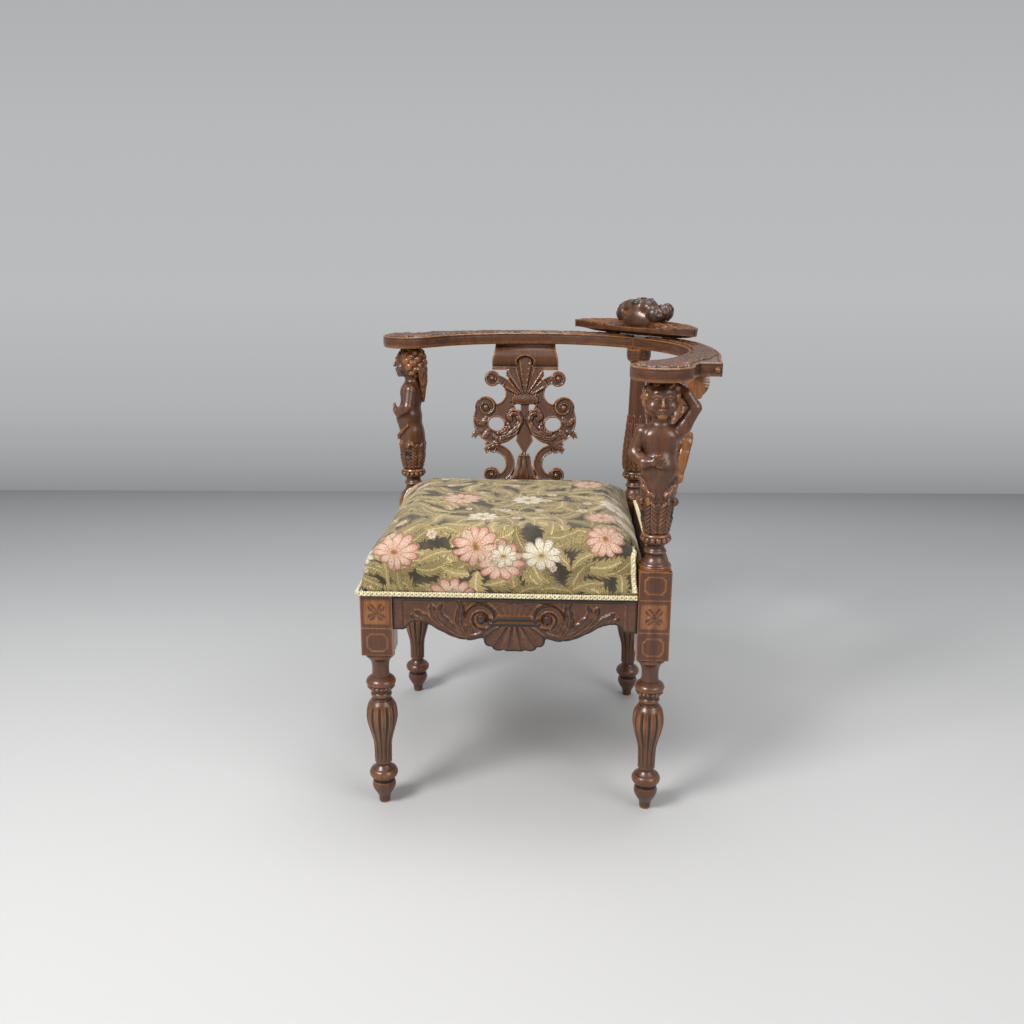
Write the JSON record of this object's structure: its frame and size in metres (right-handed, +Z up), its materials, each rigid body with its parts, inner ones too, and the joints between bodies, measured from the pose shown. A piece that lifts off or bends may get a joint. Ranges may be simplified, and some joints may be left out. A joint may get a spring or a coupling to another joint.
{
  "type": "carved corner chair",
  "caption": "Carved corner chair with turned and fluted legs, figure posts, pierced splats, a horseshoe arm rail and a stuffed-over tapestry seat.",
  "frame": {"origin": "on the floor, at the bottom centre of the overall outline box", "axes": "+Z up; -Y to the front leg and +Y to the back corner; +X to the right seen from the front; the chair is mirror-symmetric about the plane X = 0"},
  "size_m": [0.7382, 0.7137, 0.8165],
  "materials": {
    "walnut": "dark waxed walnut, satin on the carving's edges",
    "jute_webbing": "woven jute",
    "base_cloth": "plain hessian",
    "tapestry": "floral tapestry weave",
    "gimp": "cream gimp braid"
  },
  "bodies": {
    "root": {"leg_front": "walnut", "leg_left": "walnut", "leg_right": "walnut", "leg_back": "walnut", "rail_front_left": "walnut", "rail_front_right": "walnut", "rail_back_left": "walnut", "rail_back_right": "walnut", "corner_blocks": "walnut", "figure_left": "walnut", "figure_right": "walnut", "back_column": "walnut", "splat_left": "walnut", "splat_right": "walnut", "splat_shoe_left": "walnut", "splat_shoe_right": "walnut", "arm_rail_left": "walnut", "arm_rail_right": "walnut", "arm_rail_key": "walnut", "crest_leaf": "walnut", "crest_mask": "walnut", "crest_tenons": "walnut", "seat_webbing": "jute_webbing", "seat_base_cloth": "base_cloth", "seat_cushion": "tapestry", "gimp_braid": "gimp"}
  },
  "joints": []
}
